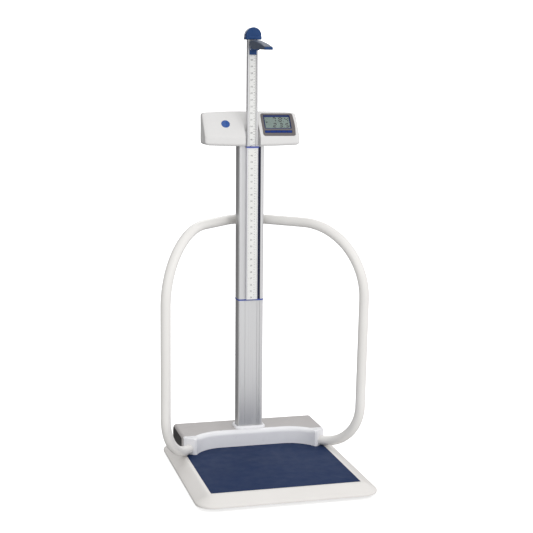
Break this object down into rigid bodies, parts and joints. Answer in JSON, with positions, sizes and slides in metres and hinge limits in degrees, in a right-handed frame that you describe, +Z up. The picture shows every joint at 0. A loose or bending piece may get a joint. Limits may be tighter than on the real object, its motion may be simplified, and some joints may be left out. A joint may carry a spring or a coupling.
{
  "type": "physician scale",
  "caption": "Electronic column scale with a ramped platform, display head, telescoping height rod with a folding measuring arm, and a wrap-around handrail.",
  "frame": {"origin": "on the floor under the middle of the whole object's box", "axes": "+Z up, +Y away from the user towards the column, +X to the user's right"},
  "size_m": [0.81, 0.76, 1.6975],
  "materials": {
    "tray_plastic": "warm white, fine grain",
    "mat": "navy, fine ribbed non-slip surface with a soft gloss",
    "frame_steel": "black powder coat",
    "load_cell_alloy": "milled",
    "circuit_board": "solder mask",
    "bright_steel": "zinc plated",
    "housing_grey": "light grey, fine grain",
    "housing_white": "satin white",
    "cap_dark": "dark grey moulding",
    "anodised_aluminium": "satin anodised extrusion",
    "blue_ring": "blue moulding",
    "navy_strip": "navy insert",
    "rule_cover": "satin anodised",
    "rule_label": null,
    "cable_black": "black",
    "head_plastic": "light grey-white, fine grain",
    "bezel_grey": "warm dark grey",
    "lcd_glass": "clear window with a navy printed border",
    "lcd_film": "greenish grey liquid crystal panel",
    "battery_wrap": "plain wrapped cells",
    "badge_blue": "plain ring, no mark",
    "rail_coat": "ivory powder coat",
    "rail_clamp": "light grey powder coat",
    "foot_rubber": "black",
    "blue_plastic": "blue moulding",
    "arm_grey": "slate grey moulding",
    "key_blue": "blue key tops, unmarked"
  },
  "bodies": {
    "base": {"platform_tray": "tray_plastic", "platform_mat": "mat", "base_frame": "frame_steel", "load_cells": "load_cell_alloy", "junction_board": "circuit_board", "column_foot_plate": "frame_steel", "foot_plate_bolts": "bright_steel", "rear_cover": "housing_grey", "front_fascia": "housing_white", "end_cap_left": "cap_dark", "end_cap_right": "cap_dark", "column_collar": "housing_white", "lower_column": "anodised_aluminium", "column_sleeve": "frame_steel", "column_ring": "blue_ring", "upper_column": "anodised_aluminium", "slot_strip": "navy_strip", "rule_cover": "rule_cover", "fixed_rule": "rule_label", "rule_bushing": "blue_ring", "signal_cable": "cable_black", "head_bracket": "frame_steel", "head_front_shell": "head_plastic", "head_rear_shell": "head_plastic", "display_bezel": "bezel_grey", "lcd_window": "lcd_glass", "lcd_panel": "lcd_film", "display_board": "circuit_board", "battery_pack": "battery_wrap", "battery_cover": "head_plastic", "supply_inlet": "cable_black", "head_badge": "badge_blue", "head_screws": "bright_steel", "handrail_left": "rail_coat", "handrail_right": "rail_coat", "rail_sockets": "load_cell_alloy", "rail_saddle": "rail_clamp", "rail_clamp": "rail_clamp", "clamp_screws": "bright_steel"},
    "rod": {"height_rod": "anodised_aluminium", "rod_rule": "rule_label", "rod_glide": "foot_rubber", "rod_cap": "blue_plastic"},
    "carriage": {"carriage": "blue_plastic", "hinge_pin": "bright_steel"},
    "arm": {"measuring_arm": "blue_plastic", "arm_cover": "arm_grey"},
    "key_1": {"key_1": "key_blue"},
    "key_2": {"key_2": "key_blue"},
    "key_3": {"key_3": "key_blue"},
    "key_4": {"key_4": "key_blue"},
    "key_5": {"key_5": "key_blue"},
    "foot_1": {"foot_1": "bright_steel", "foot_pad_1": "foot_rubber"},
    "foot_2": {"foot_2": "bright_steel", "foot_pad_2": "foot_rubber"},
    "foot_3": {"foot_3": "bright_steel", "foot_pad_3": "foot_rubber"},
    "foot_4": {"foot_4": "bright_steel", "foot_pad_4": "foot_rubber"}
  },
  "joints": [
    {"name": "rod_slide", "type": "slide", "parent": "base", "child": "rod", "axis": [0, 0, 1], "range_m": [0, 0.4]},
    {"name": "carriage_slide", "type": "slide", "parent": "rod", "child": "carriage", "axis": [0, 0, -1], "range_m": [0, 0.19]},
    {"name": "arm_fold", "type": "hinge", "parent": "carriage", "child": "arm", "pos_m": [0, 0.203, 1.622], "axis": [1, 0, 0], "range_deg": [0, 90]},
    {"name": "key_1_press", "type": "slide", "parent": "base", "child": "key_1", "axis": [0, 0.809, -0.5878], "range_m": [0, 0.0008], "stiffness_N_per_m": 1000, "springref_m": -0.001},
    {"name": "key_2_press", "type": "slide", "parent": "base", "child": "key_2", "axis": [0, 0.809, -0.5878], "range_m": [0, 0.0008], "stiffness_N_per_m": 1000, "springref_m": -0.001},
    {"name": "key_3_press", "type": "slide", "parent": "base", "child": "key_3", "axis": [0, 0.809, -0.5878], "range_m": [0, 0.0008], "stiffness_N_per_m": 1000, "springref_m": -0.001},
    {"name": "key_4_press", "type": "slide", "parent": "base", "child": "key_4", "axis": [0, 0.809, -0.5878], "range_m": [0, 0.0008], "stiffness_N_per_m": 1000, "springref_m": -0.001},
    {"name": "key_5_press", "type": "slide", "parent": "base", "child": "key_5", "axis": [0, 0.809, -0.5878], "range_m": [0, 0.0008], "stiffness_N_per_m": 1000, "springref_m": -0.001},
    {"name": "foot_1_turn", "type": "hinge", "parent": "base", "child": "foot_1", "pos_m": [-0.25, -0.3, 0.01], "axis": [0, 0, 1], "continuous": true},
    {"name": "foot_2_turn", "type": "hinge", "parent": "base", "child": "foot_2", "pos_m": [0.25, -0.3, 0.01], "axis": [0, 0, 1], "continuous": true},
    {"name": "foot_3_turn", "type": "hinge", "parent": "base", "child": "foot_3", "pos_m": [-0.25, 0.3, 0.01], "axis": [0, 0, 1], "continuous": true},
    {"name": "foot_4_turn", "type": "hinge", "parent": "base", "child": "foot_4", "pos_m": [0.25, 0.3, 0.01], "axis": [0, 0, 1], "continuous": true}
  ]
}
